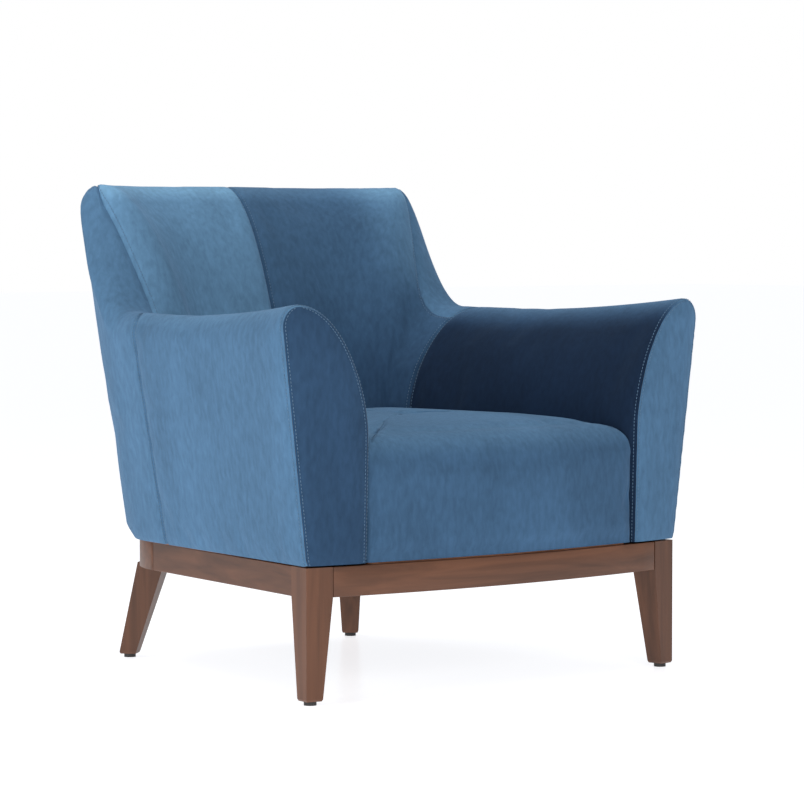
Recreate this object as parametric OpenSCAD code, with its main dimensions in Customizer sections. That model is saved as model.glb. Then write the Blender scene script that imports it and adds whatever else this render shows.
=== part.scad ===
// Upholstered lounge armchair: a show-wood plinth on four legs carries a sprung,
// padded horseshoe body whose arms sweep up into the back.
// Origin: on the floor, under the middle of the line through the front legs' outer corners.
// +Z up, the sitter faces -Y. Millimetres.

/* [Plinth] */
// Width across the outer corners of the two front legs
plinth_w = 740; // [600:5:900]
// Depth from the front legs' outer corners to the rear face of the plinth
plinth_d = 666; // [540:2:800]
// Angle by which each side runs inwards towards the rear
side_toe = 8.4; // [4:0.1:12]
// How far the front rail bows forwards at its middle
front_bow = 36; // [10:1:50]
// Half the length of the straight stretch in the bent rear rail
rear_flat = 98; // [60:1:110]
// Height of the rails
rail_h = 45; // [30:1:70]
// Thickness of the rails
rail_t = 24; // [18:1:32]
// Set-back of the rails behind the outer faces of the legs
rail_recess = 2; // [0:0.5:5]

/* [Legs] */
// Height from the floor to the underside of the rails
leg_h = 158; // [110:1:210]
// Width of a leg's square section at the rails
leg_w = 45; // [36:1:56]
// Width of a leg's square section at the foot
foot_w = 28; // [22:1:36]
// How far the foot of a rear leg is splayed out from its head
rear_splay = 42; // [20:1:60]
// Direction of the rear splay, measured from sideways towards the rear
rear_splay_dir = 50; // [35:1:70]
// Place of a rear leg around the bent corner, measured from sideways
rear_leg_turn = 55.7; // [45:0.1:65]
// Diameter of the foot glides
glide_d = 19; // [14:1:22]
// Height of the foot glides
glide_h = 6; // [3:0.5:10]

/* [Upholstered body] */
// Height of the arm crest above the plinth at the front
arm_front_h = 386; // [320:1:460]
// How far the arm crest dips between the front and the back
arm_dip = 19; // [0:1:50]
// Height of the back above the plinth
back_h = 568; // [480:1:680]
// Thickness of an arm at the seat
arm_t = 100; // [85:1:125]
// Thickness of the back at the seat
back_t = 145; // [120:1:160]
// Outward lean of the arms, as a slope
arm_flare = 0.15; // [0.04:0.002:0.2]
// Backward lean of the back's outer face, as a slope
back_rake = 0.092; // [0.04:0.002:0.2]
// Overhang of the upholstery beyond the plinth at the arms
arm_overhang = 4; // [2:0.5:8]
// Overhang of the upholstery beyond the plinth at the back
back_overhang = 13; // [6:0.5:18]
// Radius of the crest on the arms
arm_crest_r = 28; // [20:1:36]
// Radius of the crest on the back
back_crest_r = 43; // [30:1:50]
// Length of an arm along the side, up to the seam with the back
arm_len = 471; // [400:1:480]
// Thickness of the covers with their wadding
cover_t = 2.5; // [1.5:0.1:4]

/* [Seat] */
// Height of the seat's front edge above the plinth
seat_h = 193; // [160:1:240]
// Rise of the seat's crown above its edge
seat_crown = 15; // [0:1:30]
// Radius of the seat's upper edge
seat_edge_r = 28; // [15:1:40]
// Height of the seat frame
seat_frame_h = 58; // [40:1:80]
// Number of sinuous springs
spring_count = 5; // [3:1:5]
// Diameter of the spring wire
spring_d = 3.8; // [3:0.1:5]

/* [Fits] */
// Clearance between two wooden parts
wood_gap = 0.2; // [0.1:0.05:0.5]
// Clearance between soft parts
soft_gap = 0.3; // [0.2:0.05:0.6]
// Shadow gap between the plinth and the covers
shadow_gap = 3; // [2:0.5:6]

/* [Hidden] */
$fn = 64;

walnut = "saddlebrown";
beech = "burlywood";
velvet = "steelblue";
foam = "ivory";
steel = "silver";

half_w = plinth_w / 2;
rail_z = leg_h;
body_z = leg_h + rail_h;
deck_z = body_z + seat_frame_h;

// Plan of the plinth: a straight side, a round rear corner and a straight rear
corner_y = (plinth_d - (half_w - rear_flat) * cos(side_toe)) / (1 - sin(side_toe));
corner_r = plinth_d - corner_y;
side_len = (corner_y + corner_r * sin(side_toe)) / cos(side_toe);
arc_len = corner_r * (90 - side_toe) * PI / 180;
half_len = side_len + arc_len + rear_flat;
bow_r = (half_w * half_w + front_bow * front_bow) / (2 * front_bow);
bow_cy = bow_r - front_bow;

// Stations along the body, measured from the front corner around to the other one
panel_front = -3;
panel_back = 5;
board_t = 12;
board_back = panel_back + soft_gap + board_t;
wing_len = 137;
wing_sweep = 1.9;

// Layers of the body, measured inwards from the outer face
frame_skin = 12;
arm_frame_t = 16;
back_frame_t = 22;
frame_drop = 50;
webbing_t = 1.2;
foam_gap = 0.8;

// ---- shared functions ----

function clamp01(v) = min(1, max(0, v));
function smooth(v) = let (c = clamp01(v)) c * c * (3 - 2 * c);
function mix(a, b, t) = a + (b - a) * t;
function mirror_l(l) = l > half_len ? 2 * half_len - l : l;

// Direction of the outward normal at station l on the right half
function turn(l) = l <= side_len ? side_toe
    : min(90, side_toe + (l - side_len) / corner_r * 180 / PI);

function plan_right(l) = l <= side_len ? [half_w - l * sin(side_toe), l * cos(side_toe)]
    : l <= side_len + arc_len
        ? [rear_flat + corner_r * cos(turn(l)), corner_y + corner_r * sin(turn(l))]
    : [half_len - l, plinth_d];

// A point at station l, n inwards from the plinth's face and at height z
function body_point(l, n, z) = let (m = mirror_l(l), p = plan_right(m), a = turn(m),
    x = p[0] - n * cos(a), y = p[1] - n * sin(a)) [l > half_len ? -x : x, y, z];

// Shares of the back's section in the body's section at station l
function backness(l) = smooth((mirror_l(l) - arm_len * 0.9) / (half_len - arm_len * 0.9));
function rise(l) = smooth(pow(clamp01((mirror_l(l) - arm_len + 8) / wing_len), wing_sweep));

function crest_z(l) = let (m = mirror_l(l), t = clamp01(m / (arm_len * 0.75)),
    arm = arm_front_h - arm_dip * (1 - (1 - t) * (1 - t)))
    body_z + mix(arm, back_h, rise(l));
function lean(l) = mix(arm_flare, back_rake, backness(l));
function overhang(l) = mix(arm_overhang, back_overhang, smooth(mirror_l(l) / side_len));
function crest_r(l) = mix(arm_crest_r, back_crest_r, rise(l));
function depth_at_seat(l) = let (t = clamp01((mirror_l(l) - arm_len) / (half_len - arm_len)))
    mix(arm_t, back_t, 1 - (1 - t) * (1 - t));
function roundness(l) = mix(2, 1, rise(l));
function outer_n(l, z) = -overhang(l) - lean(l) * (z - body_z);

// Lower edge of the covers, tucked in towards the plinth
function tuck_n(l) = mix(2, 8, rise(l));
function tuck_z(l) = mix(8, 26, rise(l));
cover_z = body_z + shadow_gap;
round_z = body_z + seat_h - 5;

// Outline of the section at station l, d inside its surface.
// w runs 0..1 up the tucked edge, 1..2 up the outer face, 2..3 over to the crest,
// 3..4 down the inner curve and 4..5 down the inner face.
function section_point(l, w, d) = let (
    h = crest_z(l) - d, r = crest_r(l) - d, s = h - r,
    low = cover_z + tuck_z(l), crest_n = outer_n(l, h + d) + crest_r(l),
    inner_n = depth_at_seat(l) - d)
    w <= 1 ? let (a = 90 * w, z = mix(cover_z, low, sin(a)))
        body_point(l, outer_n(l, z) + d + tuck_n(l) * (1 - sin(a)), z)
    : w <= 2 ? let (z = mix(low, s, w - 1)) body_point(l, outer_n(l, z) + d, z)
    : w <= 3 ? let (a = 90 * (w - 2), edge = outer_n(l, s) + d)
        body_point(l, mix(crest_n, edge, cos(a)), s + r * sin(a))
    : w <= 4 ? let (t = sin(90 * (4 - w)), k = pow(1 - pow(t, roundness(l)), 0.5))
        body_point(l, mix(crest_n, inner_n, k), mix(round_z, h, t))
    : body_point(l, inner_n, mix(round_z, cover_z, w - 4));

// Boundary of the frame inside the section, along the same w
function frame_point(l, w, d0, d1) = let (top = crest_z(l) - frame_drop + foam_gap)
    w <= 2 ? let (z = mix(cover_z, top, w / 2)) body_point(l, outer_n(l, z) + d0, z)
    : w <= 3 ? body_point(l, outer_n(l, top) + mix(d0, d1, w - 2), top)
    : let (z = mix(top, cover_z, (w - 3) / 2)) body_point(l, outer_n(l, z) + d1, z);

function steps(a, b, n) = [for (i = [0 : n]) mix(a, b, i / n)];
function both_ways(list) = concat(list, [for (i = [len(list) - 2 : -1 : 0]) 2 * half_len - list[i]]);
section_steps = concat(steps(0, 1, 2), [1.5], steps(2, 3, 5), [for (i = [1 : 8]) 3 + i / 8], [5]);

// Stations around the back, closer together where the crest climbs
climb_end = arm_len + wing_len;
climb_steps = 11;
rear_steps = 7;
back_rows = concat(steps(arm_len + soft_gap, climb_end, climb_steps),
    [for (i = [1 : rear_steps]) mix(climb_end, half_len, i / rear_steps)]);
wing_frame_end = back_rows[climb_steps + 1];

// ---- shared modules ----

// A coloured piece, moved so that the middle of the chair stands over the origin
rear_y = plinth_d - outer_n(half_len, crest_z(half_len) - crest_r(half_len));
front_y = rail_recess - front_bow;
module piece(c) { color(c) translate([0, -(front_y + rear_y) / 2, 0]) children(); }

// A closed solid between two grids of points that have the same rows and columns
module slab(outer, inner) {
    rows = len(outer);
    cols = len(outer[0]);
    count = rows * cols;
    flat = [for (g = [outer, inner]) for (row = g) for (p = row) p];
    function at(side, i, j) = side * count + i * cols + j;
    faces = concat(
        [for (i = [0 : rows - 2], j = [0 : cols - 2], k = [0, 1]) k == 0
            ? [at(0, i, j), at(0, i, j + 1), at(0, i + 1, j + 1)]
            : [at(0, i, j), at(0, i + 1, j + 1), at(0, i + 1, j)]],
        [for (i = [0 : rows - 2], j = [0 : cols - 2], k = [0, 1]) k == 0
            ? [at(1, i, j), at(1, i + 1, j + 1), at(1, i, j + 1)]
            : [at(1, i, j), at(1, i + 1, j), at(1, i + 1, j + 1)]],
        [for (i = [0 : rows - 2], k = [0, 1]) k == 0
            ? [at(0, i, 0), at(0, i + 1, 0), at(1, i + 1, 0)]
            : [at(0, i, 0), at(1, i + 1, 0), at(1, i, 0)]],
        [for (i = [0 : rows - 2], k = [0, 1]) k == 0
            ? [at(0, i, cols - 1), at(1, i + 1, cols - 1), at(0, i + 1, cols - 1)]
            : [at(0, i, cols - 1), at(1, i, cols - 1), at(1, i + 1, cols - 1)]],
        [for (j = [0 : cols - 2], k = [0, 1]) k == 0
            ? [at(0, 0, j), at(1, 0, j + 1), at(0, 0, j + 1)]
            : [at(0, 0, j), at(1, 0, j), at(1, 0, j + 1)]],
        [for (j = [0 : cols - 2], k = [0, 1]) k == 0
            ? [at(0, rows - 1, j), at(0, rows - 1, j + 1), at(1, rows - 1, j + 1)]
            : [at(0, rows - 1, j), at(1, rows - 1, j + 1), at(1, rows - 1, j)]]);
    polyhedron(points = flat, faces = faces);
}

// A closed solid through rings of points, each ring as long as the next
module loft(rings) {
    n = len(rings[0]);
    last = len(rings) - 1;
    polyhedron(points = [for (r = rings) for (p = r) p], faces = concat(
        [[for (j = [n - 1 : -1 : 0]) j]],
        [for (i = [0 : last - 1], j = [0 : n - 1], k = [0, 1]) let (e = (j + 1) % n) k == 0
            ? [i * n + j, i * n + e, (i + 1) * n + e]
            : [i * n + j, (i + 1) * n + e, (i + 1) * n + j]],
        [[for (j = [0 : n - 1]) last * n + j]]));
}

// A layer through stations rows, d0 to d1 inwards from the body's outer face; high = 0
// stands for the height of the frame under the crest
module body_panel(rows, d0, d1, low, high) {
    function level(l, t) = mix(low, high == 0 ? crest_z(l) - frame_drop : high, t / 4);
    function face(d) = [for (l = rows) [for (t = [0 : 4]) let (z = level(l, t))
        body_point(l, outer_n(l, z) + d, z)]];
    slab(face(d0), face(d1));
}

module on_left() { mirror([1, 0, 0]) children(); }

// The frame of the right front corner: x runs outwards, y runs back along the side
module at_front_corner() { translate([half_w, 0, 0]) rotate(side_toe) children(); }

// The head of the right rear leg, with x along its splay
rear_head_r = corner_r - rail_recess - rail_t / 2;
module at_rear_leg() {
    translate([rear_flat + rear_head_r * cos(rear_leg_turn),
            corner_y + rear_head_r * sin(rear_leg_turn), 0])
        rotate(rear_splay_dir) children();
}

function square_ring(x, y, w, z) = [[x - w / 2, y - w / 2, z], [x + w / 2, y - w / 2, z],
    [x + w / 2, y + w / 2, z], [x - w / 2, y + w / 2, z]];
foot_chamfer = 3;

// ---- plinth ----

bolt_d = 8;
bolt_clear = 0.5;
block_h = 34;
block_z = rail_z + 4;
nail_d = 3;
nail_len = 16;

module front_rail() {
    piece(walnut) {
        reach = asin((half_w - leg_w * cos(side_toe) - wood_gap * 4) / bow_r);
        translate([0, bow_cy, rail_z]) rotate(-90 - reach)
            rotate_extrude(angle = 2 * reach, $fn = 360)
                translate([bow_r - rail_recess - rail_t, 0]) square([rail_t, rail_h]);
    }
}

module side_rail() {
    piece(walnut) at_front_corner()
        translate([-rail_recess - rail_t, leg_w + wood_gap, rail_z])
            cube([rail_t, side_len - leg_w - 2 * wood_gap, rail_h]);
}

module left_side_rail() { on_left() side_rail(); }
module right_side_rail() { side_rail(); }

// Outline of the bent rear of the plinth, and the part of it in front of the bends
module bend_outline(r) {
    for (side = [-1, 1]) translate([side * rear_flat, corner_y]) circle(r, $fn = 180);
    translate([-rear_flat, corner_y]) square([2 * rear_flat, r]);
}

module ahead_of_bend() {
    reach = plinth_w;
    x = rear_flat + reach * cos(side_toe);
    y = corner_y + reach * sin(side_toe);
    polygon([[rear_flat, corner_y], [x, y], [x, -reach], [-x, -reach], [-x, y], [-rear_flat, corner_y]]);
}

module rear_rail() {
    piece(walnut) difference() {
        translate([0, 0, rail_z]) linear_extrude(rail_h) difference() {
            bend_outline(corner_r - rail_recess);
            bend_outline(corner_r - rail_recess - rail_t);
            ahead_of_bend();
        }
        rear_bolt_holes();
        on_left() rear_bolt_holes();
    }
}

rear_bolt_up = 30;
rear_bolt_down = 45;
module rear_bolt_holes() {
    at_rear_leg() translate([0, 0, rail_z - rear_bolt_down])
        cylinder(d = bolt_d + 2 * bolt_clear, h = rear_bolt_down + rear_bolt_up);
}

module front_leg() {
    piece(walnut) at_front_corner() difference() {
        loft([square_ring(-foot_w / 2, foot_w / 2, foot_w - foot_chamfer, glide_h),
            square_ring(-foot_w / 2, foot_w / 2, foot_w, glide_h + foot_chamfer),
            square_ring(-leg_w / 2, leg_w / 2, leg_w, rail_z),
            square_ring(-leg_w / 2, leg_w / 2, leg_w, body_z)]);
        translate([-foot_w / 2, foot_w / 2, glide_h - 1])
            cylinder(d = nail_d + bolt_clear, h = nail_len + 1.3, $fn = 24);
        block_bolt_place() translate([0, 0, -1]) cylinder(d = bolt_d + 2 * bolt_clear, h = 26);
    }
}

module front_left_leg() { on_left() front_leg(); }
module front_right_leg() { front_leg(); }

module rear_leg() {
    piece(walnut) at_rear_leg() difference() {
        loft([square_ring(rear_splay, 0, foot_w - foot_chamfer, glide_h),
            square_ring(rear_splay, 0, foot_w, glide_h + foot_chamfer),
            square_ring(0, 0, leg_w, rail_z - wood_gap)]);
        translate([rear_splay, 0, glide_h - 1])
            cylinder(d = nail_d + bolt_clear, h = nail_len + 1.3, $fn = 24);
        translate([0, 0, rail_z - rear_bolt_down])
            cylinder(d = bolt_d + 2 * bolt_clear, h = rear_bolt_down + 1);
    }
}

module rear_left_leg() { on_left() rear_leg(); }
module rear_right_leg() { rear_leg(); }

// The bolts run from the block into the inner corner of the front leg
bolt_heights = [10, 24];
module block_bolt_place() {
    for (z = bolt_heights)
        translate([-leg_w, leg_w, block_z + z]) rotate([0, 90, -45]) children();
}

// Each front block fills the corner between the leg and the two rails; its long
// face is square to the bolts
front_block_reach = 62;
front_block_depth = (front_block_reach - leg_w + rail_recess + rail_t) / sqrt(2) + wood_gap * sqrt(2);
module front_block() {
    inner = leg_w + wood_gap;
    face = rail_recess + rail_t + wood_gap;
    front_face = inner - 9;
    at_front_corner() difference() {
        translate([0, 0, block_z]) linear_extrude(block_h)
            polygon([[-inner, inner], [-face, inner], [-face, inner + front_block_reach],
                [-inner - front_block_reach + (inner - face) - (inner - front_face), front_face],
                [-inner, front_face]]);
        block_bolt_place() translate([0, 0, -60]) cylinder(d = bolt_d + 2 * bolt_clear, h = 61);
    }
}

module corner_blocks() {
    piece(beech) {
        front_block();
        on_left() front_block();
        rear_block();
        on_left() rear_block();
    }
}

// A segment that backs the bent rail above each rear leg
rear_block_t = 20;
module rear_block() {
    r = corner_r - rail_recess - rail_t - wood_gap;
    translate([rear_flat, corner_y, block_z]) rotate(rear_leg_turn - 14)
        rotate_extrude(angle = 28, $fn = 180)
            translate([r - rear_block_t, 0]) square([rear_block_t, block_h]);
}

block_bolt_len = 50;
module corner_block_bolt() {
    at_front_corner() block_bolt_place() translate([0, 0, -front_block_depth - wood_gap]) {
        cylinder(d = bolt_d, h = block_bolt_len);
        translate([0, 0, -5]) cylinder(d = 13, h = 5, $fn = 6);
    }
}

module corner_block_bolts() {
    piece(steel) {
        corner_block_bolt();
        on_left() corner_block_bolt();
    }
}

module rear_leg_bolt() {
    at_rear_leg() translate([0, 0, rail_z - rear_bolt_down + bolt_clear])
        cylinder(d = bolt_d, h = rear_bolt_down + rear_bolt_up - 2 * bolt_clear);
}

module rear_leg_bolts() {
    piece(steel) {
        rear_leg_bolt();
        on_left() rear_leg_bolt();
    }
}

module each_foot() {
    for (side = [0, 1]) mirror([side, 0, 0]) {
        at_front_corner() translate([-foot_w / 2, foot_w / 2, 0]) children();
        at_rear_leg() translate([rear_splay, 0, 0]) children();
    }
}

nail_head = 1;
module foot_glides() {
    piece("black") each_foot() difference() {
        cylinder(d = glide_d, h = glide_h);
        translate([0, 0, glide_h - nail_head - 1]) cylinder(d = nail_d * 2 + bolt_clear, h = nail_head + 2);
    }
}

module glide_nails() {
    piece(steel) each_foot() {
        translate([0, 0, glide_h - nail_head - 0.9]) cylinder(d = nail_d * 2, h = nail_head, $fn = 32);
        translate([0, 0, glide_h - 1]) cylinder(d = nail_d, h = nail_len + 1, $fn = 24);
    }
}

// ---- body frame ----

module arm_frame() {
    piece(beech) body_panel(steps(board_back + soft_gap, arm_len - soft_gap, 12), frame_skin,
        frame_skin + arm_frame_t, body_z, 0);
}

module left_arm_frame() { on_left() arm_frame(); }
module right_arm_frame() { arm_frame(); }

module wing_frame() {
    piece(beech) body_panel([for (l = back_rows) if (l <= wing_frame_end) l], frame_skin,
        frame_skin + back_frame_t, body_z, 0);
}

module left_wing_frame() { on_left() wing_frame(); }
module right_wing_frame() { wing_frame(); }

rail_start = wing_frame_end + wood_gap;
rail_rows = both_ways(concat([rail_start], [for (l = back_rows) if (l > rail_start) l]));
top_rail_h = 60;
lower_rail_h = 75;

module back_top_rail() {
    top = body_z + back_h - frame_drop;
    piece(beech) body_panel(rail_rows, frame_skin, frame_skin + back_frame_t, top - top_rail_h, top);
}

module back_lower_rail() {
    piece(beech) body_panel(rail_rows, frame_skin, frame_skin + back_frame_t, body_z,
        body_z + lower_rail_h);
}

webbing_w = 50;
webbing_pitch = 78;
webbing_count = 4;
webbing_gap = 1.4;
webbing_d = frame_skin + back_frame_t + webbing_gap;
module back_webbing() {
    piece("dimgray") for (i = [0 : webbing_count - 1]) {
        middle = half_len + (i - (webbing_count - 1) / 2) * webbing_pitch;
        body_panel(steps(middle - webbing_w / 2, middle + webbing_w / 2, 2), webbing_d,
            webbing_d + webbing_t, body_z + 12, body_z + back_h - frame_drop - 8);
    }
}

// ---- seat ----

// Stations of the seat's outline along the body's inner face
seat_front = 22;
seat_corner_r = 18;
seat_steps = 5;

function bow_y(x) = bow_cy - sqrt(bow_r * bow_r - x * x);
function seat_side(l, inset) = body_point(l, depth_at_seat(l) + soft_gap + inset, 0);
function seat_corner(inset) = let (p = seat_side(seat_front, 0),
    c = [p[0] - seat_corner_r, bow_y(p[0] - seat_corner_r) + rail_recess + seat_corner_r],
    r = max(0.5, seat_corner_r - inset), k = max(0, inset - seat_corner_r + 0.5))
    [for (a = steps(-90, -side_toe, 4)) [c[0] - k + r * cos(a), c[1] + k + r * sin(a)]];
function seat_half(inset) = concat(
    let (x1 = seat_corner(inset)[0][0]) [for (x = steps(0, x1 - 1, 6)) if (x > 0)
        [x, bow_y(x) + rail_recess + inset]],
    seat_corner(inset),
    [for (l = concat(steps(seat_front + seat_corner_r + 12, arm_len, seat_steps), back_rows))
        let (p = seat_side(l, inset)) [p[0], p[1]]]);
function seat_ring(inset, z) = let (h = seat_half(inset), n = len(h)) concat(
    [[0, bow_y(0) + rail_recess + inset, z]],
    [for (p = h) [p[0], p[1], z]],
    [for (i = [n - 2 : -1 : 0]) [-h[i][0], h[i][1], z]]);

seat_edge_z = body_z + seat_h - seat_edge_r;
seat_mid_y = 220;
function seat_crown_ring(t, inset, drop) = [for (p = seat_ring(seat_edge_r + inset, 0))
    [p[0] * (1 - t), seat_mid_y + (p[1] - seat_mid_y) * (1 - t),
        body_z + seat_h + seat_crown * (1 - (1 - t) * (1 - t)) - drop]];
function seat_rings(bottom, d) = concat(
    [seat_ring(d, bottom), seat_ring(d, seat_edge_z)],
    [for (a = [30, 60]) seat_ring(d + seat_edge_r * (1 - cos(a)), seat_edge_z + (seat_edge_r - d) * sin(a))],
    [for (t = [0, 0.2, 0.5, 0.85]) seat_crown_ring(t, d, d)]);

felt_t = 3;
felt_z = deck_z + 2;
foam_z = felt_z + felt_t + soft_gap;
seat_frame_skin = 8;
seat_frame_t = 26;

module seat_cover() {
    outer = seat_rings(cover_z, 0);
    inner = seat_rings(cover_z, cover_t);
    n = len(outer[0]);
    last = len(outer) - 1;
    count = n * (last + 1);
    piece(velvet) polyhedron(points = [for (g = [outer, inner]) for (r = g) for (p = r) p],
        faces = concat(
            [for (i = [0 : last - 1], j = [0 : n - 1], k = [0, 1]) let (e = (j + 1) % n) k == 0
                ? [i * n + j, i * n + e, (i + 1) * n + e]
                : [i * n + j, (i + 1) * n + e, (i + 1) * n + j]],
            [for (i = [0 : last - 1], j = [0 : n - 1], k = [0, 1]) let (e = (j + 1) % n) k == 0
                ? [count + i * n + j, count + (i + 1) * n + e, count + i * n + e]
                : [count + i * n + j, count + (i + 1) * n + j, count + (i + 1) * n + e]],
            [for (j = [0 : n - 1], k = [0, 1]) let (e = (j + 1) % n) k == 0
                ? [j, count + e, e] : [j, count + j, count + e]],
            [[for (j = [0 : n - 1]) last * n + j]],
            [[for (j = [n - 1 : -1 : 0]) count + last * n + j]]));
}

module seat_foam() {
    piece(foam) loft(seat_rings(foam_z, cover_t + soft_gap));
}

module seat_rail_outline(inset) {
    polygon([for (p = seat_ring(inset, 0)) [p[0], p[1]]]);
}

// The seat frame: a bowed front rail, two side rails and a board across the rear
seat_rear_y = arm_len * cos(side_toe) - 32;
seat_front_y = 60;
module seat_band(y0, y1) {
    reach = plinth_w;
    translate([-reach, y0]) square([2 * reach, y1 - y0]);
}

module seat_frame_ring() {
    difference() {
        seat_rail_outline(seat_frame_skin);
        seat_rail_outline(seat_frame_skin + seat_frame_t);
    }
}

module seat_frame_front() {
    piece(beech) translate([0, 0, body_z]) linear_extrude(seat_frame_h) intersection() {
        seat_frame_ring();
        seat_band(-plinth_d, seat_front_y);
    }
}

module seat_frame_rear() {
    piece(beech) translate([0, 0, body_z]) linear_extrude(seat_frame_h) intersection() {
        seat_rail_outline(seat_frame_skin);
        seat_band(seat_rear_y, 2 * plinth_d);
    }
}

module seat_frame_side() {
    piece(beech) difference() {
        translate([0, 0, body_z]) linear_extrude(seat_frame_h) intersection() {
            seat_frame_ring();
            seat_band(seat_front_y + wood_gap, seat_rear_y - wood_gap);
            translate([0, -plinth_d]) square(3 * plinth_d);
        }
        each_body_bolt() translate([0, 0, -1]) cylinder(d = body_bolt_d + 2 * bolt_clear, h = 36);
    }
}

module seat_frame_right() { seat_frame_side(); }
module seat_frame_left() { on_left() seat_frame_side(); }

// Two bearers cross the plinth and carry the seat frame
bearer_w = 60;
bearer_h = 18;
bearer_y = [105, 345];
module bearer(y0) {
    reach = rail_recess + rail_t + wood_gap;
    function end_x(y) = half_w - y * tan(side_toe) - reach / cos(side_toe);
    y1 = y0 + bearer_w;
    piece(beech) difference() {
        translate([0, 0, body_z - bearer_h]) linear_extrude(bearer_h)
            polygon([[-end_x(y0), y0], [end_x(y0), y0], [end_x(y1), y1], [-end_x(y1), y1]]);
        for (side = [0, 1]) mirror([side, 0, 0]) each_body_bolt()
            translate([0, 0, -bearer_h - 1]) cylinder(d = body_bolt_d + 2 * bolt_clear, h = bearer_h + 2);
    }
}

module front_bearer() { bearer(bearer_y[0]); }
module rear_bearer() { bearer(bearer_y[1]); }

body_bolt_d = 6;
body_bolt_len = 50;
module each_body_bolt() {
    for (y = bearer_y) {
        p = body_point((y + bearer_w / 2) / cos(side_toe),
            arm_t + soft_gap + seat_frame_skin + seat_frame_t / 2, body_z);
        translate(p) children();
    }
}

module body_bolts() {
    piece(steel) for (side = [0, 1]) mirror([side, 0, 0]) each_body_bolt() {
        translate([0, 0, -bearer_h - 0.2]) cylinder(d = body_bolt_d, h = body_bolt_len);
        translate([0, 0, -bearer_h - 4]) cylinder(d = 11, h = 3.8, $fn = 6);
    }
}

// Sinuous springs hooked into clips on the front and rear rails
spring_pitch = 60;
spring_amp = 18;
spring_waves = 9;
spring_z = deck_z - 6;
spring_y0 = -front_bow + seat_frame_skin + seat_frame_t + 16;
spring_y1 = seat_rear_y - 15;

function spring_x(t) = spring_amp * sin(360 * spring_waves * t);
function spring_path(t) = [spring_x(t), mix(spring_y0, spring_y1, t), spring_z];

module spring() {
    ring = 4;
    count = spring_waves * 7;
    r = spring_d / 2;
    loft([for (i = [0 : count]) let (t = i / count,
        p = spring_path(t),
        q = spring_path(t + 0.001), s = spring_path(t - 0.001),
        dir = [q[0] - s[0], q[1] - s[1]] / norm([q[0] - s[0], q[1] - s[1]]))
        [for (k = [0 : ring - 1]) let (a = -360 * k / ring)
            [p[0] - dir[1] * r * cos(a), p[1] + dir[0] * r * cos(a), p[2] + r * sin(a)]]]);
}

module each_spring() {
    for (i = [0 : spring_count - 1])
        translate([(i - (spring_count - 1) / 2) * spring_pitch, 0, 0]) children();
}

module seat_springs() { piece(steel) each_spring() spring(); }

clip_w = 14;
clip_h = 9;
clip_gap = 2.2;
module spring_clip(y0, y1) {
    translate([-clip_w / 2, y0, spring_z - clip_h / 2]) cube([clip_w, y1 - y0, clip_h]);
}

module spring_clips() {
    piece("dimgray") for (i = [0 : spring_count - 1]) {
        x = (i - (spring_count - 1) / 2) * spring_pitch;
        translate([x, 0, 0]) {
            spring_clip(bow_y(abs(x) + clip_w / 2) + rail_recess + seat_frame_skin + seat_frame_t
                + wood_gap, spring_y0 - clip_gap);
            spring_clip(spring_y1 + clip_gap, seat_rear_y - wood_gap);
        }
    }
}

module spring_felt() {
    piece("gray") loft([for (z = [felt_z, felt_z + felt_t])
        [for (p = seat_ring(seat_frame_skin + 4, 0)) [p[0], p[1], z]]]);
}

// ---- padding ----

foam_d = cover_t + foam_gap;

// Foam through stations rows, wrapped over the frame and down to depth inner behind it
module foam_pad(rows, inner) {
    skin = frame_skin - foam_gap;
    piece(foam) slab([for (l = rows) [for (w = section_steps) section_point(l, w, foam_d)]],
        [for (l = rows) [for (w = section_steps) frame_point(l, w, skin, inner + foam_gap)]]);
}

module arm_foam() {
    foam_pad(steps(board_back + soft_gap, arm_len - soft_gap, 12), frame_skin + arm_frame_t);
}

module left_arm_foam() { on_left() arm_foam(); }
module right_arm_foam() { arm_foam(); }

module wing_foam() {
    foam_pad([for (l = back_rows) if (l <= climb_end) l], frame_skin + back_frame_t);
}

module left_wing_foam() { on_left() wing_foam(); }
module right_wing_foam() { wing_foam(); }

back_foam_start = climb_end + soft_gap;
module back_foam() {
    rows = concat([back_foam_start], [for (l = back_rows) if (l > back_foam_start) l]);
    foam_pad(both_ways(rows), webbing_d + webbing_t);
}

// ---- front of the arms ----

// A plate across the arm's section, between stations l0 and l1
module section_plate(l0, l1, d) {
    outline = concat([5], [for (i = [8 : -1 : 1]) 3 + i / 8], steps(3, 2, 5), steps(1, 0, 2));
    loft([for (l = [l0, l1]) [for (w = outline) section_point(l, w, d)]]);
}

module front_board() { piece(beech) section_plate(panel_back + soft_gap, board_back, foam_d); }
module left_front_board() { on_left() front_board(); }
module right_front_board() { front_board(); }

module front_panel() { piece(velvet) section_plate(panel_front, panel_back, 0.5); }
module left_front_panel() { on_left() front_panel(); }
module right_front_panel() { front_panel(); }

// ---- covers ----

seam_w = 2.35;
outer_steps = concat([for (w = section_steps) if (w < seam_w - 0.02) w], [seam_w - 0.01]);
inner_steps = concat([seam_w], [for (w = section_steps) if (w > seam_w + 0.02) w]);

module cover(rows, across) {
    piece(velvet) slab([for (l = rows) [for (w = across) section_point(l, w, 0)]],
        [for (l = rows) [for (w = across) section_point(l, w, cover_t)]]);
}

module arm_cover() { cover(steps(panel_back + soft_gap, arm_len - soft_gap, 14), section_steps); }
module left_arm_cover() { on_left() arm_cover(); }
module right_arm_cover() { arm_cover(); }

module inner_back_cover() {
    last = len(back_rows) - 1;
    rows = [for (i = [0 : last]) i == last ? half_len - soft_gap : back_rows[i]];
    cover(rows, inner_steps);
}
module left_inner_back_cover() { on_left() inner_back_cover(); }
module right_inner_back_cover() { inner_back_cover(); }

module outer_back_cover() { cover(both_ways(back_rows), outer_steps); }

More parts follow.
